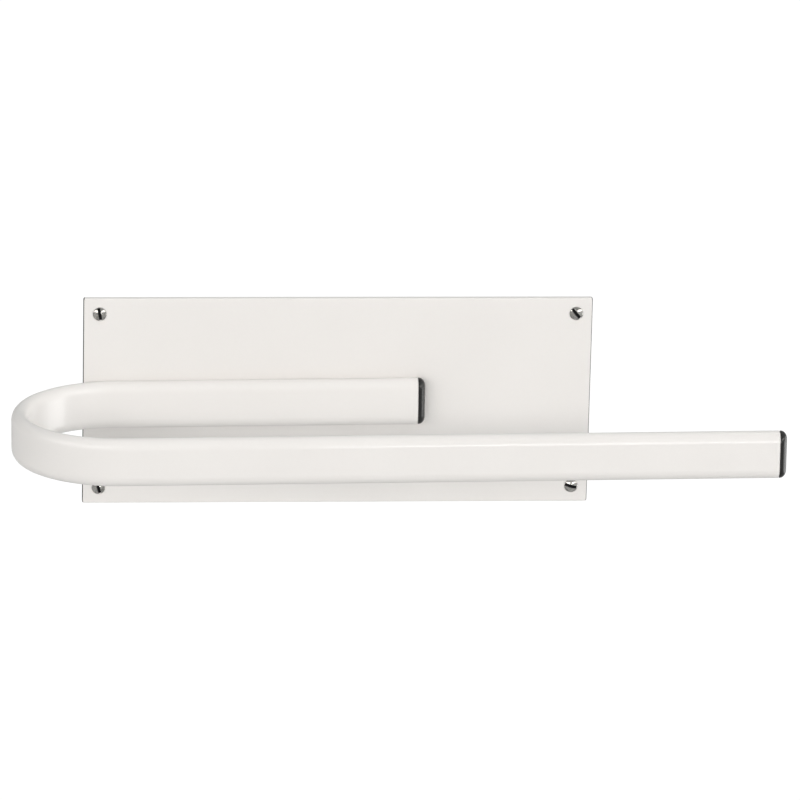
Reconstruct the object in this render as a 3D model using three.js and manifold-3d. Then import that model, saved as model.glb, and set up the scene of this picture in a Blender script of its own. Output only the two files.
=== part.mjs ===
// A wall-mounted paper towel holder: a flat-oval steel tube, bent into a level hairpin, on a screwed plate.
// Millimetres, +Z up. The wall is the plane y = 0, the holder stands out from it towards -Y, and +X points
// to the arm's free end, where the roll slides on. The origin is the centre of the plate's back face.
import * as THREE from "three";
import { mergeVertices } from "three/addons/utils/BufferGeometryUtils.js";
import Module from "manifold-3d";

const wasm = await Module();
wasm.setup();

// ---------------------------------------------------------------- driving dimensions

// Room between neighbours that touch on the real holder
const TOUCH_GAP = 0.3;

// Wall plate
const PLATE_WIDTH = 250;
const PLATE_HEIGHT = 105;
const PLATE_THICKNESS = 3;
const PLATE_CORNER_RADIUS = 1;
const SCREW_TO_EDGE = 8;

// Flat-oval tube of the arm; each end of its section is half an ellipse of that height
const TUBE_HEIGHT = 23.5;
const TUBE_THICKNESS = 8;
const TUBE_END_HEIGHT = 5;
const TUBE_WALL = 1.5;

// Arm: the hairpin's plan, measured from the centre of its bend. It climbs along X towards its open end,
// and its front leg stands a little higher than its rear leg.
const BEND_RADIUS = 47;
const BEND_CENTRE_X = -110;
const BEND_CENTRE_Z = -0.2;
const REAR_LEG_LENGTH = 149.5;
const FRONT_LEG_LENGTH = 315.5;
const ARM_RISE = THREE.MathUtils.degToRad(0.52);
const ARM_TILT = THREE.MathUtils.degToRad(0.43);
const BEND_STEPS = 24;

// Black end caps
const CAP_HEAD_LENGTH = 3.2;
const CAP_ROUNDING = 2.4;
const CAP_PLUG_LENGTH = 14;
const CAP_RIB_COUNT = 3;
const CAP_RIB_WIDTH = 1.2;
const CAP_RIB_HEIGHT = 0.5;

// Slotted raised countersunk wood screws, 3.5 x 20
const WALL_SCREW = {
  shankRadius: 1.75,
  headRadius: 3.3,
  headEdge: 0.2,
  domeHeight: 1,
  length: 20,
  plainLength: 5,
  threadRootRadius: 1.2,
  threadPitch: 1.6,
  pointLength: 4,
  slotWidth: 1.1,
  slotDepth: 1.5,
};
const WALL_HOLE_RADIUS = 2.1;

// Turn of each screw's slot about its axis, seen from the front and counter-clockwise from +X
const WALL_SCREW_PLACES = [
  { name: "top_left", side: -1, level: 1, slotTurn: -80 },
  { name: "top_right", side: 1, level: 1, slotTurn: -50 },
  { name: "bottom_right", side: 1, level: -1, slotTurn: -16 },
  { name: "bottom_left", side: -1, level: -1, slotTurn: -75 },
];

// Flat steel bar inside the rear leg, and the machine screws that pull it and the leg to the plate, M5 x 8
const CLAMP_BAR = { length: 112, height: 16, thickness: 4, startX: 20 };
const ARM_SCREW_XS = [35, 120];
const ARM_SCREW_SIDES = ["left", "right"];
const ARM_SCREW = {
  shankRadius: 2.5,
  headRadius: 4.6,
  headEdge: 0.3,
  domeHeight: 0,
  length: 8,
  slotWidth: 1.2,
  slotDepth: 1.2,
  chamfer: 0.5,
  sink: 0.3,
};

// Fineness of the facets
const SCREW_SEGMENTS = 16;
const DOME_STEPS = 4;
const CORNER_SEGMENTS = 2;
const TUBE_ARC_SEGMENTS = 3;
const CAP_ARC_SEGMENTS = 4;
const CAP_BEVEL_SEGMENTS = 3;

// How far the cutting solids stand clear of the faces that they cut through
const CUT_MARGIN = 1;

// Depths from the wall: the rear leg's centreline in the holder, and, from that line, the inside of the
// leg's rear wall and the rim of the arm's screws, which is sunk a little into the plate's back
const ARM_ORIGIN_Y = -(PLATE_THICKNESS + TOUCH_GAP + TUBE_THICKNESS / 2);
const TUBE_INNER_Y = TUBE_THICKNESS / 2 - TUBE_WALL;
const ARM_SCREW_RIM_Y = -ARM_SCREW.sink - ARM_ORIGIN_Y;

// ---------------------------------------------------------------- materials

const material = (color, roughness, metalness) =>
  new THREE.MeshStandardMaterial({ color, roughness, metalness });

const whitePowderCoat = () => material(0xeeeeea, 0.35, 0);
const blackPlastic = () => material(0x0b0b0b, 0.3, 0);
const brightSteel = () => material(0xa9a7a2, 0.25, 1);
const zincSteel = () => material(0x9da1a4, 0.4, 1);

// ---------------------------------------------------------------- solids

function toSolid(geometry) {
  const plain = geometry.clone();
  plain.deleteAttribute("normal");
  plain.deleteAttribute("uv");
  const merged = mergeVertices(plain);
  return new wasm.Manifold(
    new wasm.Mesh({
      numProp: 3,
      vertProperties: Float32Array.from(merged.attributes.position.array),
      triVerts: Uint32Array.from(merged.index.array),
    }),
  );
}

function toGeometry(solid) {
  const { vertProperties, triVerts } = solid.getMesh();
  const geometry = new THREE.BufferGeometry();
  geometry.setAttribute("position", new THREE.BufferAttribute(vertProperties, 3));
  geometry.setIndex(new THREE.BufferAttribute(triVerts, 1));
  geometry.computeVertexNormals();
  return geometry;
}

const cut = (body, tools) =>
  toGeometry(tools.reduce((solid, tool) => solid.subtract(toSolid(tool)), toSolid(body)));

const join = (geometries) =>
  toGeometry(geometries.map(toSolid).reduce((solid, next) => solid.add(next)));

// A round body about the Y axis; its profile is a list of [radius, y] that climbs in y
const turned = (profile) =>
  new THREE.LatheGeometry(profile.map(([radius, y]) => new THREE.Vector2(radius, y)), SCREW_SEGMENTS);

const piece = (name, geometry, finish) => {
  const mesh = new THREE.Mesh(geometry, finish);
  mesh.name = name;
  return mesh;
};

// Axes of an outline drawn in X and Z, whose depth then runs out from the wall
const OUTLINE_TO_FRONT = new THREE.Matrix4().makeBasis(
  new THREE.Vector3(1, 0, 0),
  new THREE.Vector3(0, 0, 1),
  new THREE.Vector3(0, -1, 0),
);

// Axes of a tube section, whose depth then runs along the leg towards its open end
const SECTION_TO_LEG = new THREE.Matrix4().makeBasis(
  new THREE.Vector3(0, 0, 1),
  new THREE.Vector3(0, -1, 0),
  new THREE.Vector3(1, 0, 0),
);

// ---------------------------------------------------------------- flat-oval sections

// The tube's outline, inset from its outside: its height lies along the shape's x, its thickness along y
function insetOval(inset) {
  const straight = TUBE_HEIGHT / 2 - TUBE_END_HEIGHT;
  const endHeight = TUBE_END_HEIGHT - inset;
  const halfThickness = TUBE_THICKNESS / 2 - inset;
  const shape = new THREE.Shape();
  shape.absellipse(straight, 0, endHeight, halfThickness, -Math.PI / 2, Math.PI / 2, false);
  shape.absellipse(-straight, 0, endHeight, halfThickness, Math.PI / 2, Math.PI * 1.5, false);
  return shape;
}

// A bar of the inset section along the leg; bevel holds ExtrudeGeometry's own bevel options
function ovalBar(inset, from, length, bevel = { bevelEnabled: false }) {
  const bar = new THREE.ExtrudeGeometry(insetOval(inset), {
    depth: length,
    curveSegments: CAP_ARC_SEGMENTS,
    ...bevel,
  });
  bar.translate(0, 0, from);
  return bar.applyMatrix4(SECTION_TO_LEG);
}

// ---------------------------------------------------------------- screws

function screwHead({ headRadius, headEdge, domeHeight, shankRadius }) {
  const headDepth = headEdge + headRadius - shankRadius;
  const profile = [[0, -domeHeight]];
  for (let step = 1; domeHeight > 0 && step < DOME_STEPS; step += 1) {
    const reach = step / DOME_STEPS;
    profile.push([headRadius * reach, -domeHeight * (1 - reach * reach)]);
  }
  profile.push([headRadius, 0], [headRadius, headEdge], [shankRadius, headDepth]);
  return profile;
}

function screwSlot(screw, turn) {
  const reach = 2 * (screw.headRadius + CUT_MARGIN);
  const slot = new THREE.BoxGeometry(reach, screw.slotDepth * 2, screw.slotWidth);
  slot.translate(0, -screw.domeHeight, 0);
  return slot.rotateY(-THREE.MathUtils.degToRad(turn));
}

// Wood screw along +Y, with the rim of its head at y = 0; thread crests stand as rings
function wallScrewGeometry(slotTurn) {
  const { shankRadius, plainLength, threadRootRadius, threadPitch, length, pointLength } = WALL_SCREW;
  const profile = screwHead(WALL_SCREW);
  profile.push([shankRadius, plainLength]);
  const threadEnd = length - pointLength;
  for (let y = plainLength + threadPitch / 2; y < threadEnd; y += threadPitch) {
    profile.push([threadRootRadius, y], [shankRadius, y + threadPitch / 2]);
  }
  profile.push([threadRootRadius, threadEnd + threadPitch / 2], [0, length]);
  return cut(turned(profile), [screwSlot(WALL_SCREW, slotTurn)]);
}

// Machine screw along +Y, with the rim of its head at y = 0
function armScrewGeometry() {
  const { shankRadius, length, chamfer } = ARM_SCREW;
  const profile = screwHead(ARM_SCREW);
  profile.push([shankRadius, length - chamfer], [shankRadius - chamfer, length], [0, length]);
  return cut(turned(profile), [screwSlot(ARM_SCREW, 0)]);
}

// The hole that a countersunk screw needs, widened by the gap, with the head's rim at y = 0
function countersink(screw, holeRadius) {
  const rim = screw.headRadius + TOUCH_GAP * Math.SQRT2;
  const edge = screw.headEdge;
  const depth = PLATE_THICKNESS + CUT_MARGIN;
  return turned([
    [0, -CUT_MARGIN],
    [rim, -CUT_MARGIN],
    [rim, edge],
    [holeRadius, edge + rim - holeRadius],
    [holeRadius, depth],
    [0, depth],
  ]);
}

// A round hole along Y, through a wall of that thickness with its middle at y = 0
const clearHole = (screw, thickness) =>
  new THREE.CylinderGeometry(
    screw.shankRadius + TOUCH_GAP,
    screw.shankRadius + TOUCH_GAP,
    thickness + 2 * CUT_MARGIN,
    SCREW_SEGMENTS,
  );

// ---------------------------------------------------------------- wall side

const wallScrewPosition = ({ side, level }) =>
  new THREE.Vector3(
    side * (PLATE_WIDTH / 2 - SCREW_TO_EDGE),
    -PLATE_THICKNESS,
    level * (PLATE_HEIGHT / 2 - SCREW_TO_EDGE),
  );

function plateOutline() {
  const right = PLATE_WIDTH / 2;
  const top = PLATE_HEIGHT / 2;
  const radius = PLATE_CORNER_RADIUS;
  const outline = new THREE.Shape();
  outline.absarc(right - radius, top - radius, radius, 0, Math.PI / 2);
  outline.absarc(radius - right, top - radius, radius, Math.PI / 2, Math.PI);
  outline.absarc(radius - right, radius - top, radius, Math.PI, Math.PI * 1.5);
  outline.absarc(right - radius, radius - top, radius, Math.PI * 1.5, Math.PI * 2);
  return outline;
}

function wallPlateGeometry(armFrame) {
  const blank = new THREE.ExtrudeGeometry(plateOutline(), {
    depth: PLATE_THICKNESS,
    curveSegments: CORNER_SEGMENTS,
    bevelEnabled: false,
  });
  blank.applyMatrix4(OUTLINE_TO_FRONT);
  const wallHoles = WALL_SCREW_PLACES.map((place) => {
    const { x, y, z } = wallScrewPosition(place);
    return countersink(WALL_SCREW, WALL_HOLE_RADIUS).translate(x, y, z);
  });
  const armHoles = ARM_SCREW_XS.map((x) =>
    countersink(ARM_SCREW, ARM_SCREW.shankRadius + TOUCH_GAP)
      .rotateX(Math.PI)
      .translate(x, ARM_SCREW_RIM_Y, 0)
      .applyMatrix4(armFrame),
  );
  return cut(blank, [...wallHoles, ...armHoles]);
}

function wallSide(armFrame) {
  const group = new THREE.Group();
  group.add(piece("wall_plate", wallPlateGeometry(armFrame), whitePowderCoat()));
  for (const place of WALL_SCREW_PLACES) {
    const screw = piece(`wall_screw_${place.name}`, wallScrewGeometry(place.slotTurn), brightSteel());
    screw.position.copy(wallScrewPosition(place));
    group.add(screw);
  }
  return group;
}

// ---------------------------------------------------------------- arm side

// Centreline of the hairpin, from the rear leg's open end round the bend to the front leg's open end.
// Each straight leg is one step of the sweep and the bend is BEND_STEPS of them.
const SWEEP_STEPS = BEND_STEPS + 2;

class HairpinPath extends THREE.Curve {
  // Angle turned round the bend: 0 all along the rear leg, a half turn all along the front leg
  bendAngle(t) {
    return (THREE.MathUtils.clamp(t * SWEEP_STEPS - 1, 0, BEND_STEPS) / BEND_STEPS) * Math.PI;
  }

  getPointAt(t, target = new THREE.Vector3()) {
    const step = t * SWEEP_STEPS;
    if (step < 1) {
      return target.set(REAR_LEG_LENGTH * (1 - step), 0, 0);
    }
    if (step > BEND_STEPS + 1) {
      return target.set(FRONT_LEG_LENGTH * (step - BEND_STEPS - 1), -2 * BEND_RADIUS, 0);
    }
    const angle = this.bendAngle(t);
    return target.set(-BEND_RADIUS * Math.sin(angle), -BEND_RADIUS * (1 - Math.cos(angle)), 0);
  }

  getTangentAt(t, target = new THREE.Vector3()) {
    const angle = this.bendAngle(t);
    return target.set(-Math.cos(angle), -Math.sin(angle), 0);
  }
}

function rollArmGeometry() {
  const section = insetOval(0);
  section.holes.push(insetOval(TUBE_WALL));
  const tube = new THREE.ExtrudeGeometry(section, {
    steps: SWEEP_STEPS,
    curveSegments: TUBE_ARC_SEGMENTS,
    extrudePath: new HairpinPath(),
  });
  const wallMiddle = TUBE_INNER_Y + TUBE_WALL / 2;
  const holes = ARM_SCREW_XS.map((x) => clearHole(ARM_SCREW, TUBE_WALL).translate(x, wallMiddle, 0));
  return cut(tube, holes);
}

// Domed head with rounded edges, on a ribbed plug that grips inside the tube; its seat is at x = 0
function endCapGeometry() {
  const domed = ovalBar(0, 0, CAP_HEAD_LENGTH - CAP_ROUNDING, {
    bevelEnabled: true,
    bevelThickness: CAP_ROUNDING,
    bevelSize: CAP_ROUNDING,
    bevelOffset: -CAP_ROUNDING,
    bevelSegments: CAP_BEVEL_SEGMENTS,
  });
  const tubeSide = new THREE.BoxGeometry(TUBE_HEIGHT, TUBE_HEIGHT, 2 * TUBE_HEIGHT);
  tubeSide.translate(-TUBE_HEIGHT / 2, 0, 0);
  const head = cut(domed, [tubeSide]);
  const ribInset = TUBE_WALL + TOUCH_GAP;
  const plugReach = CAP_PLUG_LENGTH + CUT_MARGIN;
  const plug = ovalBar(ribInset + CAP_RIB_HEIGHT, -CAP_PLUG_LENGTH, plugReach);
  // Half a pitch of plain plug stays behind the last rib
  const pitch = CAP_PLUG_LENGTH / (CAP_RIB_COUNT + 0.5);
  const ribs = Array.from({ length: CAP_RIB_COUNT }, (_, index) =>
    ovalBar(ribInset, -pitch * (index + 1), CAP_RIB_WIDTH),
  );
  return join([head, plug, ...ribs]);
}

function clampBarGeometry() {
  const { length, height, thickness, startX } = CLAMP_BAR;
  const bar = new THREE.BoxGeometry(length, thickness, height);
  bar.translate(startX + length / 2, 0, 0);
  const holes = ARM_SCREW_XS.map((x) => clearHole(ARM_SCREW, thickness).translate(x, 0, 0));
  return cut(bar, holes);
}

function armSide(group) {
  group.add(piece("roll_arm", rollArmGeometry(), whitePowderCoat()));

  const rearCap = piece("arm_end_cap_rear", endCapGeometry(), blackPlastic());
  rearCap.position.set(REAR_LEG_LENGTH + TOUCH_GAP, 0, 0);
  const frontCap = piece("arm_end_cap_front", endCapGeometry(), blackPlastic());
  frontCap.position.set(FRONT_LEG_LENGTH + TOUCH_GAP, -2 * BEND_RADIUS, 0);
  group.add(rearCap, frontCap);

  const bar = piece("arm_clamp_bar", clampBarGeometry(), zincSteel());
  bar.position.y = TUBE_INNER_Y - TOUCH_GAP - CLAMP_BAR.thickness / 2;
  group.add(bar);

  ARM_SCREW_SIDES.forEach((side, index) => {
    const screw = piece(`arm_fixing_screw_${side}`, armScrewGeometry(), zincSteel());
    screw.position.set(ARM_SCREW_XS[index], ARM_SCREW_RIM_Y, 0);
    screw.rotation.x = Math.PI;
    group.add(screw);
  });
}

// ---------------------------------------------------------------- assembly

const arm = new THREE.Group();
arm.position.set(BEND_CENTRE_X, ARM_ORIGIN_Y, BEND_CENTRE_Z);
arm.rotation.set(-ARM_TILT, -ARM_RISE, 0);
arm.updateMatrix();
armSide(arm);

const holder = new THREE.Group();
holder.name = "paper_towel_holder";
holder.add(wallSide(arm.matrix), arm);

export default holder;
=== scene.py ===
"""Looks of the paper towel holder: its fine meshes, finishes, light and camera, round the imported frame."""

import math

import bmesh
import bpy
from mathutils import Matrix, Vector


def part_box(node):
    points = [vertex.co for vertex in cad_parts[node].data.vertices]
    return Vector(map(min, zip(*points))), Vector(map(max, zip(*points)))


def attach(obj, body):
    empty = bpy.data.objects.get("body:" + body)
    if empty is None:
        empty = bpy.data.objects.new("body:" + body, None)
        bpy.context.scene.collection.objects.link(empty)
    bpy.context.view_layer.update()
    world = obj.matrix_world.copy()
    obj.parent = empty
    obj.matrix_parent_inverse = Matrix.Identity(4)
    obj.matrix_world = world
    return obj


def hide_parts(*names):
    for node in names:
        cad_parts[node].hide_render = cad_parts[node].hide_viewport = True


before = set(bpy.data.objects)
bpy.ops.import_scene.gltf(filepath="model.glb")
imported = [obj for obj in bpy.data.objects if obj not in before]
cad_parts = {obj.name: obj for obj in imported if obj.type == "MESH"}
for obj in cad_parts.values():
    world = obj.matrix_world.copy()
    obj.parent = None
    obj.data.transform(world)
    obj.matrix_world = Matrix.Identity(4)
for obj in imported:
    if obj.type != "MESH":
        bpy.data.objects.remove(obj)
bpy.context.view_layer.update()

MM = 0.001

# ------------------------------------------------------------------ sizes, in metres

plate_low, plate_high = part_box("wall_plate")
arm_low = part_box("roll_arm")[0]

PLATE_SIZE = plate_high - plate_low
PLATE_FRONT = plate_low.y
PLATE_CORNER_RADIUS = 1 * MM
PLATE_EDGE_ROUND = 0.6 * MM
PLATE_BACK_ROUND = 0.35 * MM
PLATE_FRAME_WIDTH = 1.2 * MM
PLATE_SMALLEST_CORNER = 0.05 * MM

# A face at the sheet's short side takes the near-black edge finish where its normal has at least this much of
# x
DARK_EDGE_NORMAL = 0.2

# Flat-oval tube; each end of its section is half an ellipse of that height
TUBE_HEIGHT = 23.5 * MM
TUBE_THICKNESS = 8 * MM
TUBE_END_HEIGHT = 5 * MM
TUBE_WALL = 1.5 * MM
TUBE_DEBURR = 0.4 * MM

# Rows of points across the tube's flats, as shares of half their height
FLAT_ROWS = (0.94, 0.4, -0.4, -0.94)

# The arm's own frame: its origin is where the rear leg runs into the bend, and its x runs along the legs.
# It climbs towards its open end, and its front leg stands a little higher than its rear leg.
ARM_RISE = math.radians(0.52)
ARM_TILT = math.radians(0.43)
REAR_LEG_LENGTH = 149.5 * MM
FRONT_LEG_LENGTH = 315.5 * MM
BEND_RADIUS = 47 * MM
BEND_LEAD = 2 * MM
BEND_STEPS = 96
ARC_STEPS = 14
ARM_TURN = Matrix.Rotation(-ARM_TILT, 4, "X") @ Matrix.Rotation(-ARM_RISE, 4, "Y")

CAP_SEAT_GAP = 0.05 * MM
CAP_LENGTH = 3.4 * MM
CAP_RIM = 0.3 * MM
CAP_EDGE_BREAK = 0.12 * MM
CAP_HEAD_SKIN = 1 * MM
CAP_DOME_STEPS = 16
CAP_DOME_REACH = 0.97
CAP_PLUG_LENGTH = 13.7 * MM
CAP_PLUG_INSET = TUBE_WALL + 0.8 * MM
CAP_RIB_INSET = TUBE_WALL + 0.3 * MM
CAP_PLUG_SKIN = 0.9 * MM
CAP_RIB_COUNT = 3
CAP_RIB_FRONT = 0.3 * MM
CAP_RIB_BACK = 1.6 * MM
CAP_TIP_LENGTH = 0.4 * MM
CAP_TIP_INSET = 0.3 * MM
CAP_SHARP_DEGREES = 40

# A screw's rim is the height 0: its dome stands above it, and its shank and slot lie below. A thread's
# crest_share is half its ridge's width as a share of the pitch.

WALL_SCREW = {
    "shank": 1.75 * MM,
    "head": 3.3 * MM,
    "edge": 0.2 * MM,
    "dome": 1 * MM,
    "length": 20 * MM,
    "plain": 5 * MM,
    "root": 1.2 * MM,
    "pitch": 1.6 * MM,
    "point": 5 * MM,
    "crest_share": 0.2,
    "slot_width": 1.1 * MM,
    "slot_depth": 1.5 * MM,
    "slot_flare": 0.55 * MM,
}
ARM_SCREW = {
    "shank": 2.5 * MM,
    "head": 4.6 * MM,
    "edge": 0.3 * MM,
    "dome": 0,
    "length": 8 * MM,
    "plain": 2.6 * MM,
    "root": 2.05 * MM,
    "pitch": 0.8 * MM,
    "point": 0.6 * MM,
    "crest_share": 0.5,
    "slot_width": 1.2 * MM,
    "slot_depth": 1.2 * MM,
    "slot_flare": 0,
}
SLOT_TURNS = {"top_left": -80, "top_right": -50, "bottom_right": -16, "bottom_left": -75}
HOLE_ROOM = 0.12 * MM
SCREW_SEGMENTS = 64
SCREW_SHARP_DEGREES = 38
DOME_STEPS = 8
RIM_CHAMFER_WIDTH = 0.06 * MM
RIM_CHAMFER_TOP = 0.05 * MM
RIM_CHAMFER_FOOT = 0.03 * MM
THREAD_STEPS = 12
POINT_CURVE = 0.7
SLOT_CUTTER_REACH = 1.5

# How far a cutter stands out of what it cuts, and how deep the holes' cutters reach
CUT_ROOM = 1 * MM
TUBE_DRILL_DEPTH = 3 * MM
SINK_DEPTH = 5 * MM
SINK_MOUTH_WIDTH = 0.2 * MM
SINK_MOUTH_DEPTH = 0.06 * MM

# In the arm's own frame
ARM_SCREW_XS = {"left": 35 * MM, "right": 120 * MM}
ARM_SCREW_RIM_Y = 7 * MM
BAR_SIZE = Vector((112 * MM, 4 * MM, 16 * MM))
BAR_CENTRE = Vector((76 * MM, 0.2 * MM, 0))
BAR_ROUND = 0.6 * MM
BAR_CORNER_RADIUS = 1 * MM
TAP_LEAD = 0.3 * MM
TAP_THREAD_DEPTH = 0.35 * MM
TAP_CREST_SHARE = 0.5
TAP_STEPS = 24
TAP_SEGMENTS = 32

SQUARE = ((-1, -1), (1, -1), (1, 1), (-1, 1))
MERGE_DISTANCE = 1e-7


# ------------------------------------------------------------------ mesh making

def mesh_object(name, rings, closed=False, ends=True):
    """A closed mesh through rings of points.

    Closed joins the last ring to the first, and ends fills the two end rings where they aren't joined.
    """
    built = bmesh.new()
    rows = [[built.verts.new(point) for point in ring] for ring in rings]
    pairs = list(zip(rows, rows[1:]))
    if closed:
        pairs.append((rows[-1], rows[0]))
    for row, after in pairs:
        for index in range(len(row)):
            following = (index + 1) % len(row)
            built.faces.new((row[index], row[following], after[following], after[index]))
    if ends and not closed:
        built.faces.new(rows[0])
        built.faces.new(rows[-1])
    bmesh.ops.remove_doubles(built, verts=built.verts, dist=MERGE_DISTANCE)
    bmesh.ops.dissolve_degenerate(built, edges=built.edges, dist=MERGE_DISTANCE)
    bmesh.ops.recalc_face_normals(built, faces=built.faces)
    mesh = bpy.data.meshes.new(name)
    built.to_mesh(mesh)
    built.free()
    made = bpy.data.objects.new(name, mesh)
    bpy.context.scene.collection.objects.link(made)
    return made


def smoothed(made, sharp_degrees=32):
    """Smooth shading, with hard edges only where faces meet at more than the angle."""
    made.data.shade_smooth()
    made.data.set_sharp_from_angle(angle=math.radians(sharp_degrees))
    return made


def moved(made, place):
    made.data.transform(place)
    return made


def carve(made, cutters):
    """Cuts the cutters out of the piece and deletes them."""
    for cutter in cutters:
        cut = made.modifiers.new("cut", "BOOLEAN")
        cut.operation = "DIFFERENCE"
        cut.solver = "EXACT"
        cut.object = cutter
    return applied(made, cutters)


def applied(made, helpers=()):
    """The piece with its modifiers applied; helper objects are deleted."""
    graph = bpy.context.evaluated_depsgraph_get()
    graph.update()
    baked = bpy.data.meshes.new_from_object(made.evaluated_get(graph))
    made.modifiers.clear()
    made.data = baked
    for helper in helpers:
        bpy.data.objects.remove(helper)
    return made


def flat_faces_flat(made):
    """Normals that follow the large flat faces, so that only the rounded edges shade as round."""
    weigh = made.modifiers.new("weigh", "WEIGHTED_NORMAL")
    weigh.mode = "FACE_AREA"
    weigh.keep_sharp = True
    return applied(made)


def turned(name, rows, segments=SCREW_SEGMENTS):
    """A body about the Y axis. A row is (radius, y), its radius a number or a function of the turn."""
    rings = []
    for radius, y in rows:
        ring = []
        for index in range(segments):
            turn = index / segments
            reach = radius(turn) if callable(radius) else radius
            ring.append((reach * math.cos(math.tau * turn), y, reach * math.sin(math.tau * turn)))
        rings.append(ring)
    return mesh_object(name, rings, ends=False)


def slot_cutter(screw, turn_about_y):
    """Bar that cuts the slot in the top of a screw; the flare widens the slot towards its mouth."""
    half_length = SLOT_CUTTER_REACH * screw["head"]
    rings = []
    for y, width in (
        (-screw["slot_depth"], screw["slot_width"] + 2 * screw["slot_flare"]),
        (0, screw["slot_width"] + screw["slot_flare"]),
        (screw["slot_depth"], screw["slot_width"]),
    ):
        half_width = width / 2
        rings.append([(x * half_length, y, z * half_width) for x, z in SQUARE])
    top = Matrix.Translation((0, -screw["dome"], 0))
    return moved(mesh_object("cutter", rings), top @ Matrix.Rotation(turn_about_y, 4, "Y"))


def flat_oval(inset):
    """Points (outward, up) round the tube's section, inset from its outside, with rows across its flats."""
    across = TUBE_THICKNESS / 2 - inset
    rise = TUBE_END_HEIGHT - inset
    straight = TUBE_HEIGHT / 2 - TUBE_END_HEIGHT
    points = []
    for side in (1, -1):
        for step in range(ARC_STEPS + 1):
            angle = math.pi * step / ARC_STEPS
            points.append((side * across * math.cos(angle), side * (straight + rise * math.sin(angle))))
        points += [(-side * across, side * straight * share) for share in FLAT_ROWS]
    return points


def quarter_round(radius, steps=4):
    """Rows (depth, inset) of a rounded edge, from the flat face down to the side."""
    rows = []
    for step in range(steps + 1):
        angle = math.pi / 2 * step / steps
        rows.append((radius * (1 - math.cos(angle)), radius * (1 - math.sin(angle))))
    return rows


def rounded_rectangle(width, height, radius, steps=5):
    """Points (x, z) round a rectangle with round corners."""
    points = []
    for quarter, (across, up) in enumerate(((1, 1), (-1, 1), (-1, -1), (1, -1))):
        for step in range(steps + 1):
            angle = math.pi / 2 * (quarter + step / steps)
            points.append((
                across * (width / 2 - radius) + radius * math.cos(angle),
                up * (height / 2 - radius) + radius * math.sin(angle),
            ))
    return points


# ------------------------------------------------------------------ the arm and what is in it

def hairpin_stations():
    """(point, outward direction) along the arm's centreline, from the rear open end to the front one."""
    stations = []
    for x in (REAR_LEG_LENGTH, REAR_LEG_LENGTH - TUBE_DEBURR, REAR_LEG_LENGTH / 2, BEND_LEAD):
        stations.append((Vector((x, 0, 0)), Vector((0, 1, 0))))
    for step in range(BEND_STEPS + 1):
        angle = math.pi * step / BEND_STEPS
        outward = Vector((-math.sin(angle), math.cos(angle), 0))
        stations.append((Vector((0, -BEND_RADIUS, 0)) + outward * BEND_RADIUS, outward))
    for x in (BEND_LEAD, FRONT_LEG_LENGTH / 2, FRONT_LEG_LENGTH - TUBE_DEBURR, FRONT_LEG_LENGTH):
        stations.append((Vector((x, -2 * BEND_RADIUS, 0)), Vector((0, -1, 0))))
    return stations


def section_ring(station, inset):
    point, outward = station
    return [point + outward * across + Vector((0, 0, up)) for across, up in flat_oval(inset)]


def arm_place():
    """The arm's own frame in the holder: the turned tube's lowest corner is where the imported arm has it."""
    points = [ARM_TURN @ point for station in hairpin_stations() for point in section_ring(station, 0)]
    lowest = Vector(min(point[axis] for point in points) for axis in range(3))
    return Matrix.Translation(arm_low - lowest) @ ARM_TURN


def roll_arm():
    stations = hairpin_stations()
    last = len(stations) - 1
    outside = [
        section_ring(station, TUBE_DEBURR if index in (0, last) else 0)
        for index, station in enumerate(stations)
    ]
    inside = [section_ring(station, TUBE_WALL) for station in stations]
    arm = mesh_object("arm_tube", outside + inside[::-1], closed=True)
    radius = ARM_SCREW["shank"] + HOLE_ROOM
    bore = [(0, -CUT_ROOM), (radius, -CUT_ROOM), (radius, TUBE_DRILL_DEPTH), (0, TUBE_DRILL_DEPTH)]
    drills = []
    for x in ARM_SCREW_XS.values():
        drill = turned("cutter", bore)
        drills.append(moved(drill, Matrix.Translation((x, TUBE_THICKNESS / 2 - TUBE_WALL, 0))))
    return smoothed(moved(carve(arm, drills), arm_place()))


def end_cap(name, seat):
    """Domed head, and behind it a hollow ribbed plug; seat is the centre of the tube's open end."""
    half = TUBE_THICKNESS / 2
    rows = []
    for step in range(CAP_DOME_STEPS + 1):
        angle = math.pi / 2 * step / CAP_DOME_STEPS
        inset = half * (1 - math.sin(angle))
        rows.append((CAP_RIM + (CAP_LENGTH - CAP_RIM) * math.cos(angle), min(inset, half * CAP_DOME_REACH)))
    rows += [(CAP_EDGE_BREAK, 0), (0, CAP_EDGE_BREAK), (0, CAP_PLUG_INSET)]
    pitch = CAP_PLUG_LENGTH / (CAP_RIB_COUNT + 0.5)
    for index in range(CAP_RIB_COUNT):
        crest = -pitch * (index + 0.5)
        rows += [
            (crest + CAP_RIB_FRONT, CAP_PLUG_INSET),
            (crest, CAP_RIB_INSET),
            (crest - CAP_RIB_BACK, CAP_PLUG_INSET),
        ]
    rows += [
        (-CAP_PLUG_LENGTH + CAP_TIP_LENGTH, CAP_PLUG_INSET),
        (-CAP_PLUG_LENGTH, CAP_PLUG_INSET + CAP_TIP_INSET),
        (-CAP_PLUG_LENGTH, CAP_PLUG_INSET + CAP_PLUG_SKIN),
        (-CAP_HEAD_SKIN, CAP_PLUG_INSET + CAP_PLUG_SKIN),
    ]
    rings = [[(x, across, up) for across, up in flat_oval(inset)] for x, inset in rows]
    cap = mesh_object(name, rings)
    return smoothed(moved(cap, arm_place() @ Matrix.Translation(seat)), CAP_SHARP_DEGREES)


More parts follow.
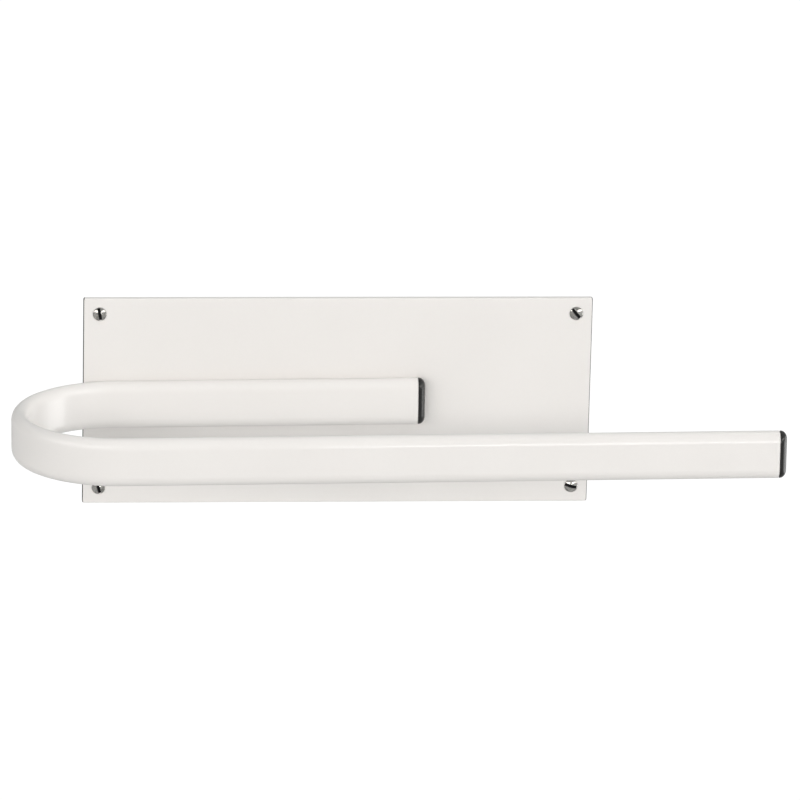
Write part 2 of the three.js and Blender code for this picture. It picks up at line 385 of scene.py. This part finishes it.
def bar_tap(thickness):
    """Cutter for a tapped hole through the bar, with a lead-in at both faces."""
    radius = ARM_SCREW["shank"] + HOLE_ROOM
    mouth = radius + CUT_ROOM
    rows = [(0, -CUT_ROOM), (mouth, -CUT_ROOM), (radius, TAP_LEAD)]
    for step in range(2, TAP_STEPS - 1):
        y = thickness * step / TAP_STEPS
        rows.append((helix(radius - TAP_THREAD_DEPTH, radius, ARM_SCREW["pitch"], TAP_CREST_SHARE, y), y))
    rows += [(radius, thickness - TAP_LEAD), (mouth, thickness + CUT_ROOM), (0, thickness + CUT_ROOM)]
    return turned("cutter", rows, segments=TAP_SEGMENTS)


def clamp_bar():
    """Flat bar inside the rear leg, with rounded long edges and two tapped holes."""
    length, thickness, height = BAR_SIZE
    outline = rounded_rectangle(length, height, BAR_CORNER_RADIUS)
    rings = []
    for y, inset in ((0, BAR_ROUND), (BAR_ROUND, 0), (thickness - BAR_ROUND, 0), (thickness, BAR_ROUND)):
        shrink_x = 1 - 2 * inset / length
        shrink_z = 1 - 2 * inset / height
        rings.append([(x * shrink_x, y, z * shrink_z) for x, z in outline])
    bar = mesh_object("clamp_bar", rings)
    taps = []
    for x in ARM_SCREW_XS.values():
        taps.append(moved(bar_tap(thickness), Matrix.Translation((x - BAR_CENTRE.x, 0, 0))))
    back = BAR_CENTRE - Vector((0, thickness / 2, 0))
    return smoothed(moved(carve(bar, taps), arm_place() @ Matrix.Translation(back)))


# ------------------------------------------------------------------ screws and the wall plate

def helix(root, crest, pitch, crest_share, y):
    """Radius of a thread at height y, as a function of the angle in turns."""
    def radius(turn):
        phase = (y / pitch - turn) % 1
        ridge = max(0.0, 1 - abs(phase - 0.5) / crest_share)
        return root + (crest - root) * ridge
    return radius


def head_rows(screw):
    """The screw's head from the top of its dome to the shank, its rim at y = 0."""
    rows = [(0, -screw["dome"])]
    for step in range(1, DOME_STEPS):
        reach = step / DOME_STEPS
        rows.append((screw["head"] * reach, -screw["dome"] * (1 - reach * reach)))
    if screw["dome"] > 0:
        rows.append((screw["head"] - RIM_CHAMFER_WIDTH, -RIM_CHAMFER_TOP))
    rows += [(screw["head"], RIM_CHAMFER_FOOT), (screw["head"], screw["edge"])]
    rows.append((screw["shank"], screw["edge"] + screw["head"] - screw["shank"]))
    return rows


def threaded_screw(name, screw, slot_turn, place):
    rows = head_rows(screw) + [(screw["shank"], screw["plain"])]
    step_height = screw["pitch"] / THREAD_STEPS
    threaded = screw["length"] - screw["plain"]
    for step in range(1, int(threaded / step_height)):
        y = screw["plain"] + step * step_height
        left = screw["length"] - y
        taper = min(1.0, left / screw["point"]) ** POINT_CURVE
        run_out = min(1.0, (y - screw["plain"]) / screw["pitch"])
        crest = screw["shank"] * taper
        root = (screw["shank"] + (screw["root"] - screw["shank"]) * run_out) * taper
        rows.append((helix(root, crest, screw["pitch"], screw["crest_share"], y), y))
    rows.append((0, screw["length"]))
    made = turned(name, rows)
    slot = slot_cutter(screw, -math.radians(slot_turn))
    return smoothed(moved(carve(made, [slot]), place), SCREW_SHARP_DEGREES)


def screw_axis(corner):
    """Centre of a wall screw in x and z, at the plate's front."""
    low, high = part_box(f"wall_screw_{corner}")
    return Vector(((low.x + high.x) / 2, PLATE_FRONT, (low.z + high.z) / 2))


def arm_screw_place(side):
    """Where a machine screw's rim lies in the plate's back; the screw points away from the wall."""
    rim = Vector((ARM_SCREW_XS[side], ARM_SCREW_RIM_Y, 0))
    return arm_place() @ Matrix.Translation(rim) @ Matrix.Rotation(math.pi, 4, "X")


def countersink(screw):
    """Cutter for a countersunk hole along +Y, the head's rim at y = 0; the coating softens its mouth."""
    rim = screw["head"] + HOLE_ROOM
    hole = screw["shank"] + 2 * HOLE_ROOM
    edge = screw["edge"]
    return turned("cutter", [
        (0, -CUT_ROOM),
        (rim + CUT_ROOM, -CUT_ROOM),
        (rim + SINK_MOUTH_WIDTH, 0),
        (rim + SINK_MOUTH_DEPTH, SINK_MOUTH_DEPTH),
        (rim, edge),
        (hole, edge + rim - hole),
        (hole, SINK_DEPTH),
        (0, SINK_DEPTH),
    ])


def wall_plate():
    """Sheet with softly rounded edges; a frame of narrow faces inside its edges keeps the flat sides flat."""
    width, height = PLATE_SIZE.x, PLATE_SIZE.z
    back = [(plate_high.y, PLATE_BACK_ROUND + PLATE_FRAME_WIDTH)]
    back += [(plate_high.y - y, inset) for y, inset in quarter_round(PLATE_BACK_ROUND)]
    front = [(PLATE_FRONT + y, inset) for y, inset in quarter_round(PLATE_EDGE_ROUND)[::-1]]
    front.append((PLATE_FRONT, PLATE_EDGE_ROUND + PLATE_FRAME_WIDTH))
    rings = []
    for y, inset in back + front:
        radius = max(PLATE_CORNER_RADIUS - inset, PLATE_SMALLEST_CORNER)
        outline = rounded_rectangle(width - 2 * inset, height - 2 * inset, radius)
        rings.append([(x, y, z) for x, z in outline])
    plate = mesh_object("plate_sheet", rings)
    cutters = []
    for corner in SLOT_TURNS:
        cutters.append(moved(countersink(WALL_SCREW), Matrix.Translation(screw_axis(corner))))
    for side in ARM_SCREW_XS:
        cutters.append(moved(countersink(ARM_SCREW), arm_screw_place(side)))
    return flat_faces_flat(smoothed(carve(plate, cutters)))


# ------------------------------------------------------------------ shader maths

# The colour sockets of a Mix node, whose names are shared by its other kinds of data
MIX_FIRST = 6
MIX_SECOND = 7
MIX_RESULT = 2


class Socket:
    """An output socket in Python arithmetic: each operator adds the Math node that it needs."""

    def __init__(self, wiring, output):
        self.wiring = wiring
        self.output = output

    def maths(self, operation, *values):
        return self.wiring.node("ShaderNodeMath", {"operation": operation}, dict(enumerate(values)))

    def __add__(self, other):
        return self.maths("ADD", self, other)

    def __radd__(self, other):
        return self.maths("ADD", other, self)

    def __sub__(self, other):
        return self.maths("SUBTRACT", self, other)

    def __rsub__(self, other):
        return self.maths("SUBTRACT", other, self)

    def __mul__(self, other):
        return self.maths("MULTIPLY", self, other)

    def __rmul__(self, other):
        return self.maths("MULTIPLY", other, self)

    def __truediv__(self, other):
        return self.maths("DIVIDE", self, other)

    def __rtruediv__(self, other):
        return self.maths("DIVIDE", other, self)

    def between(self, low, high):
        """0 below low, 1 above high, smooth between."""
        return self.wiring.node(
            "ShaderNodeMapRange",
            {"interpolation_type": "SMOOTHSTEP"},
            {"Value": self, "From Min": low, "From Max": high},
        )


class Wiring:
    """A node tree being wired: every node but the maths comes from node()."""

    def __init__(self, tree):
        self.tree = tree

    def node(self, kind, settings=None, inputs=None, output=0):
        """Adds a node; its settings come first, then its sockets' values or links. Returns one output."""
        made = self.tree.nodes.new(kind)
        for name, value in (settings or {}).items():
            setattr(made, name, value)
        for socket, value in (inputs or {}).items():
            self.plug(made.inputs[socket], value)
        return Socket(self, made.outputs[output])

    def plug(self, socket, value):
        if isinstance(value, Socket):
            self.tree.links.new(value.output, socket)
        else:
            socket.default_value = value


class Finish(Wiring):
    """A material being made: one Principled shader, whose constants are set on its own sockets."""

    def __init__(self, name, **constants):
        self.material = bpy.data.materials.new(name)
        self.material.use_nodes = True
        super().__init__(self.material.node_tree)
        self.shader = self.tree.nodes["Principled BSDF"]
        for socket, value in constants.items():
            self.feed(socket.replace("_", " "), value)

    def feed(self, socket, value):
        self.plug(self.shader.inputs[socket], value)

    def place(self):
        """Position on the piece, in metres in the holder's frame."""
        return self.node("ShaderNodeTexCoord", output="Object")

    def noise(self, scale, detail=2.0, roughness=0.5, stretch=None):
        vector = self.place()
        if stretch:
            vector = self.node("ShaderNodeVectorMath", {"operation": "MULTIPLY"}, {0: vector, 1: stretch})
        return self.node(
            "ShaderNodeTexNoise",
            inputs={"Vector": vector, "Scale": scale, "Detail": detail, "Roughness": roughness},
        )

    def mix(self, factor, first, second):
        """Colour mix: first where the factor is 0, second where it is 1."""
        return self.node(
            "ShaderNodeMix",
            {"data_type": "RGBA"},
            {"Factor": factor, MIX_FIRST: first, MIX_SECOND: second},
            MIX_RESULT,
        )

    def bump(self, height, distance, strength=1.0, below=None):
        inputs = {"Height": height, "Distance": distance, "Strength": strength}
        if below:
            inputs["Normal"] = below
        return self.node("ShaderNodeBump", None, inputs)


# ------------------------------------------------------------------ finishes

# The darkest and lightest colour of each finish
COAT_SHADES = ((0.82, 0.797, 0.777, 1), (0.882, 0.862, 0.843, 1))
EDGE_SHADES = ((0.05, 0.05, 0.052, 1), (0.11, 0.11, 0.112, 1))
PLASTIC_SHADES = ((0.003, 0.003, 0.003, 1), (0.008, 0.0079, 0.0078, 1))
BAR_SHADES = ((0.50, 0.52, 0.54, 1), (0.63, 0.65, 0.66, 1))

BRIGHT_TINT = (0.52, 0.51, 0.485)
ZINC_TINT = (0.62, 0.64, 0.66)
STAIN_SHADE = 0.5
STAIN_RANGE = (0.42, 0.66)

# Painted shade down in a screw's slot starts at the first depth below the head's crown and is full at the
# second.
# It fades out just below the slot's floor.
PAINTED_SLOT_SHADE = (0.02, 0.02, 0.02, 1)
PAINTED_SHADE_DEPTHS = (0.1 * MM, 0.5 * MM)
PAINTED_SHADE_FADE = 0.4 * MM


def white_powder_coat(name):
    """Gloss white powder coat: orange peel a few millimetres across, fine grain, slightly uneven gloss."""
    coat = Finish(name, Specular_IOR_Level=0.5, Coat_Weight=0.45, Coat_Roughness=0.07)
    clouds = coat.noise(18, detail=2)
    flecks = coat.noise(900, detail=3, roughness=0.7)
    tone = clouds * 0.7 + flecks * 0.3
    coat.feed("Base Color", coat.mix(tone, *COAT_SHADES))
    coat.feed("Roughness", 0.26 + coat.noise(60, detail=3) * 0.12 + flecks * 0.04)
    peel = coat.noise(330, detail=1.5, roughness=0.4)
    grain = coat.noise(2600, detail=2)
    coat.feed("Normal", coat.bump(grain, 0.004 * MM, 0.5, coat.bump(peel, 0.022 * MM, 0.6)))
    return coat.material


def dark_edge_metal(name):
    """Near-black dull metal for the sheet's short sides, with fine lines across its thickness; its dark
    colour draws a dark line along those edges.
    """
    edge = Finish(name, Metallic=0.85)
    lines = edge.noise(700, detail=3, stretch=(1, 0.12, 1))
    # A near-black base colour, which makes the dark line along the sheet's ends.
    edge.feed("Base Color", edge.mix(lines, *EDGE_SHADES))
    edge.feed("Roughness", 0.42 + lines * 0.2)
    edge.feed("Normal", edge.bump(lines, 0.02 * MM, 0.5))
    return edge.material


def black_plastic(name):
    """Black moulded plastic: satin grain from the mould, slightly cloudy gloss."""
    plastic = Finish(name, Specular_IOR_Level=0.5)
    clouds = plastic.noise(220, detail=3)
    grain = plastic.noise(5200, detail=2)
    plastic.feed("Base Color", plastic.mix(clouds, *PLASTIC_SHADES))
    plastic.feed("Roughness", 0.2 + clouds * 0.14)
    plastic.feed("Normal", plastic.bump(grain, 0.006 * MM, 0.5, plastic.bump(clouds, 0.03 * MM, 0.4)))
    return plastic.material


def plated_screw(name, screw, rim, inward, tint):
    """Bright plated steel with turning rings about the screw's axis and painted shade down in its slot.

    Rim is the middle of the head's rim. Inward is 1 where the screw points along +Y, and -1 where it points
    back.
    """
    plate = Finish(name, Metallic=1.0)
    offset = plate.node("ShaderNodeVectorMath", {"operation": "SUBTRACT"}, {0: plate.place(), 1: tuple(rim)})
    flat = plate.node("ShaderNodeVectorMath", {"operation": "MULTIPLY"}, {0: offset, 1: (1, 0, 1)})
    radius = plate.node("ShaderNodeVectorMath", {"operation": "LENGTH"}, {0: flat}, "Value")
    along = inward * plate.node("ShaderNodeSeparateXYZ", inputs={0: offset}, output="Y")
    reach = radius / screw["head"]
    below_crown = along + screw["dome"] * (1 - reach * reach)
    slot_floor = screw["slot_depth"] - screw["dome"]
    above_floor = 1 - along.between(slot_floor, slot_floor + PAINTED_SHADE_FADE)
    in_slot = below_crown.between(*PAINTED_SHADE_DEPTHS) * above_floor
    rings = plate.node(
        "ShaderNodeTexNoise",
        {"noise_dimensions": "1D"},
        {"W": radius, "Scale": 9000, "Detail": 2},
    )
    stains = plate.noise(650, detail=4, roughness=0.65)
    dark = tuple(channel * STAIN_SHADE for channel in tint) + (1,)
    steel = plate.mix(stains.between(*STAIN_RANGE), tint + (1,), dark)
    # The near-black colour down in the slot is painted shade.
    plate.feed("Base Color", plate.mix(in_slot, steel, PAINTED_SLOT_SHADE))
    plate.feed("Roughness", 0.1 + stains * 0.12 + rings * 0.06 + in_slot * 0.3)
    plate.feed("Normal", plate.bump(stains, 0.02 * MM, 0.4, plate.bump(rings, 0.008 * MM, 0.5)))
    return plate.material


def zinc_bar(name):
    """Zinc-plated flat bar: soft crystalline patches and fine rolling lines along its length."""
    zinc = Finish(name, Metallic=1.0)
    patches = zinc.node(
        "ShaderNodeTexVoronoi",
        {"feature": "F1"},
        {"Vector": zinc.place(), "Scale": 320},
        "Color",
    )
    grey = zinc.node("ShaderNodeSeparateColor", None, {"Color": patches})
    lines = zinc.noise(500, detail=3, stretch=(0.06, 1, 1))
    zinc.feed("Base Color", zinc.mix(grey, *BAR_SHADES))
    zinc.feed("Roughness", 0.32 + grey * 0.12 + lines * 0.1)
    zinc.feed("Normal", zinc.bump(lines, 0.012 * MM, 0.5))
    return zinc.material


# ------------------------------------------------------------------ putting the pieces in

def fit(made, node, material):
    """The piece stands for its CAD node and takes its finish."""
    if not made.data.materials:
        made.data.materials.append(material)
    else:
        made.data.materials[0] = material
    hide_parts(node)
    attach(made, "root")
    return made


def darken_the_ends(plate, material):
    """Gives the sheet's two short sides the near-black metal finish, which draws a dark line along those
    edges.
    """
    plate.data.materials.append(material)
    reach = PLATE_SIZE.x / 2 - PLATE_EDGE_ROUND
    for face in plate.data.polygons:
        if abs(face.center.x) > reach and abs(face.normal.x) > DARK_EDGE_NORMAL:
            face.material_index = 1


def build_holder():
    coat = white_powder_coat("white_powder_coat")
    plate = fit(wall_plate(), "wall_plate", coat)
    darken_the_ends(plate, dark_edge_metal("dark_edge_metal"))
    fit(roll_arm(), "roll_arm", coat)

    caps = black_plastic("black_plastic")
    seat_gap = Vector((CAP_SEAT_GAP, 0, 0))
    rear_end = Vector((REAR_LEG_LENGTH, 0, 0)) + seat_gap
    front_end = Vector((FRONT_LEG_LENGTH, -2 * BEND_RADIUS, 0)) + seat_gap
    fit(end_cap("cap_rear", rear_end), "arm_end_cap_rear", caps)
    fit(end_cap("cap_front", front_end), "arm_end_cap_front", caps)

    for corner, slot_turn in SLOT_TURNS.items():
        axis = screw_axis(corner)
        screw = threaded_screw(f"screw_{corner}", WALL_SCREW, slot_turn, Matrix.Translation(axis))
        finish = plated_screw(f"bright_plate_{corner}", WALL_SCREW, axis, 1, BRIGHT_TINT)
        fit(screw, f"wall_screw_{corner}", finish)

    for side in ARM_SCREW_XS:
        place = arm_screw_place(side)
        screw = threaded_screw(f"clamp_screw_{side}", ARM_SCREW, 0, place)
        finish = plated_screw(f"zinc_plate_{side}", ARM_SCREW, place.translation, -1, ZINC_TINT)
        fit(screw, f"arm_fixing_screw_{side}", finish)
    fit(clamp_bar(), "arm_clamp_bar", zinc_bar("zinc_bar"))


# ------------------------------------------------------------------ camera, light and stage

CAMERA_AZIMUTH = math.radians(-5)
CAMERA_ELEVATION = math.radians(17.37)
CAMERA_ROLL = math.radians(1.335)
CAMERA_DISTANCE = 3.0
CAMERA_TARGET = Vector((27.35 * MM, -45 * MM, 13.45 * MM))
CAMERA_LENS = 278.3
CAMERA_REACH = 50

# Light in the studio. A strength of 1 shows as full white. The bank's heights are sines of elevation, and its
# side is its strength at the sides as a share of that in front. The gap's bounds are tangents of azimuth.
# The bank goes from nothing to full across the front window, by how far a direction points ahead.
SURROUND_STRENGTH = 0.42
SURROUND_TILT = 0.38
SURROUND_LIFT = 0.75
SURROUND_COLOUR = (0.985, 1.0, 0.99, 1)
BANK_STRENGTH = 8.4
BANK_COLOUR = (1.0, 0.97, 0.95, 1)
BANK_SIDE = 0.37
BANK_BOTTOM = (0.064, 0.30)
BANK_TOP = (0.30, 0.335)
GAP_START = (-0.14, -0.07)
GAP_END = (0.30, 0.36)
FRONT_WINDOW = (-0.3, 0.3)
BACKGROUND_STRENGTH = 1.05

# Softboxes: azimuth and elevation in degrees, distance and (width, height) in metres, radiance
LIGHT_TARGET = Vector((0, -0.05, 0))
FRONT_STRIP = (11, -2, 2.4, (0.65, 0.18), 14.0)
SIDE_CARD = (80, -14, 2.2, (0.8, 0.8), 3.0)
RIM_CARD = (108, -12, 2.0, (1.0, 1.2), 3.0)

FLOOR_LEVEL = -2.5
FLOOR_REACH = 40.0
FLOOR_COLOUR = (0.7, 0.7, 0.7, 1)
WHITE = (1, 1, 1, 1)


def sight_line(azimuth, elevation):
    """Direction from the holder at an azimuth and elevation in radians; azimuth 0 is straight in front."""
    return Vector((
        math.sin(azimuth) * math.cos(elevation),
        -math.cos(azimuth) * math.cos(elevation),
        math.sin(elevation),
    ))


def place_camera():
    lens = bpy.data.cameras.new("camera")
    lens.lens = CAMERA_LENS
    lens.clip_end = CAMERA_REACH
    camera = bpy.data.objects.new("camera", lens)
    back = sight_line(CAMERA_AZIMUTH, CAMERA_ELEVATION)
    facing = (-back).to_track_quat("-Z", "Y").to_matrix().to_4x4()
    place = Matrix.Translation(CAMERA_TARGET + back * CAMERA_DISTANCE)
    camera.matrix_world = place @ facing @ Matrix.Rotation(CAMERA_ROLL, 4, "Z")
    bpy.context.scene.collection.objects.link(camera)
    bpy.context.scene.camera = camera


def studio_strengths(wiring):
    """Strengths of the surround and of the bank in each direction.

    The surround is brighter overhead and on the right. The bank is a low band of soft light across the front,
    with a gap in its middle that reaches further to the right than to the left.
    """
    direction = wiring.node("ShaderNodeTexCoord", output="Generated")
    right = wiring.node("ShaderNodeSeparateXYZ", inputs={0: direction}, output="X")
    ahead = -1 * wiring.node("ShaderNodeSeparateXYZ", inputs={0: direction}, output="Y")
    up = wiring.node("ShaderNodeSeparateXYZ", inputs={0: direction}, output="Z")
    front = ahead.between(*FRONT_WINDOW)
    sideways = right / ahead
    gap = sideways.between(*GAP_START) * (1 - sideways.between(*GAP_END))
    height = up.between(*BANK_BOTTOM) * (1 - up.between(*BANK_TOP))
    surround = SURROUND_STRENGTH * (1 + SURROUND_TILT * right + SURROUND_LIFT * up)
    bank = BANK_STRENGTH * height * front * (1 - gap) * (BANK_SIDE + (1 - BANK_SIDE) * ahead)
    return surround, bank


def white_surround():
    """World light, with plain white for what the camera sees directly."""
    world = bpy.data.worlds.new("surround")
    world.use_nodes = True
    bpy.context.scene.world = world
    wiring = Wiring(world.node_tree)
    surround, bank = studio_strengths(wiring)
    even = wiring.node("ShaderNodeBackground", inputs={"Color": SURROUND_COLOUR, "Strength": surround})
    warm = wiring.node("ShaderNodeBackground", inputs={"Color": BANK_COLOUR, "Strength": bank})
    lit = wiring.node("ShaderNodeAddShader", inputs={0: even, 1: warm})
    seen = wiring.node("ShaderNodeBackground", inputs={"Color": WHITE, "Strength": BACKGROUND_STRENGTH})
    camera_ray = wiring.node("ShaderNodeLightPath", output="Is Camera Ray")
    both = wiring.node("ShaderNodeMixShader", inputs={0: camera_ray, 1: lit, 2: seen})
    wiring.plug(world.node_tree.nodes["World Output"].inputs["Surface"], both)


def pale_floor():
    """A wide pale floor far below the holder, which runs into the white background."""
    built = bmesh.new()
    built.faces.new([built.verts.new((x * FLOOR_REACH, y * FLOOR_REACH, FLOOR_LEVEL)) for x, y in SQUARE])
    mesh = bpy.data.meshes.new("floor")
    built.to_mesh(mesh)
    built.free()
    floor = bpy.data.objects.new("floor", mesh)
    bpy.context.scene.collection.objects.link(floor)
    pale = Finish("floor_white", Base_Color=FLOOR_COLOUR, Roughness=0.9)
    glow = pale.node("ShaderNodeEmission", inputs={"Color": WHITE, "Strength": BACKGROUND_STRENGTH})
    camera_ray = pale.node("ShaderNodeLightPath", output="Is Camera Ray")
    lit = Socket(pale, pale.shader.outputs["BSDF"])
    both = pale.node("ShaderNodeMixShader", inputs={0: camera_ray, 1: lit, 2: glow})
    pale.plug(pale.tree.nodes["Material Output"].inputs["Surface"], both)
    floor.data.materials.append(pale.material)


def softbox(name, azimuth, elevation, distance, size, radiance):
    """A softbox that shows only in reflections; azimuth and elevation say where it stands, in degrees."""
    lamp = bpy.data.lights.new(name, "AREA")
    lamp.shape = "RECTANGLE"
    lamp.size, lamp.size_y = size
    lamp.energy = radiance * math.pi * lamp.size * lamp.size_y
    made = bpy.data.objects.new(name, lamp)
    away = sight_line(math.radians(azimuth), math.radians(elevation))
    made.location = LIGHT_TARGET + away * distance
    made.rotation_euler = away.to_track_quat("Z", "Y").to_euler()
    made.visible_diffuse = False
    made.visible_camera = False
    bpy.context.scene.collection.objects.link(made)


def light_the_studio():
    white_surround()
    pale_floor()
    softbox("front_strip", *FRONT_STRIP)
    softbox("side_card", *SIDE_CARD)
    softbox("rim_card", *RIM_CARD)
    bpy.context.scene.view_settings.view_transform = "Standard"


build_holder()
light_the_studio()
place_camera()

bpy.context.view_layer.update()
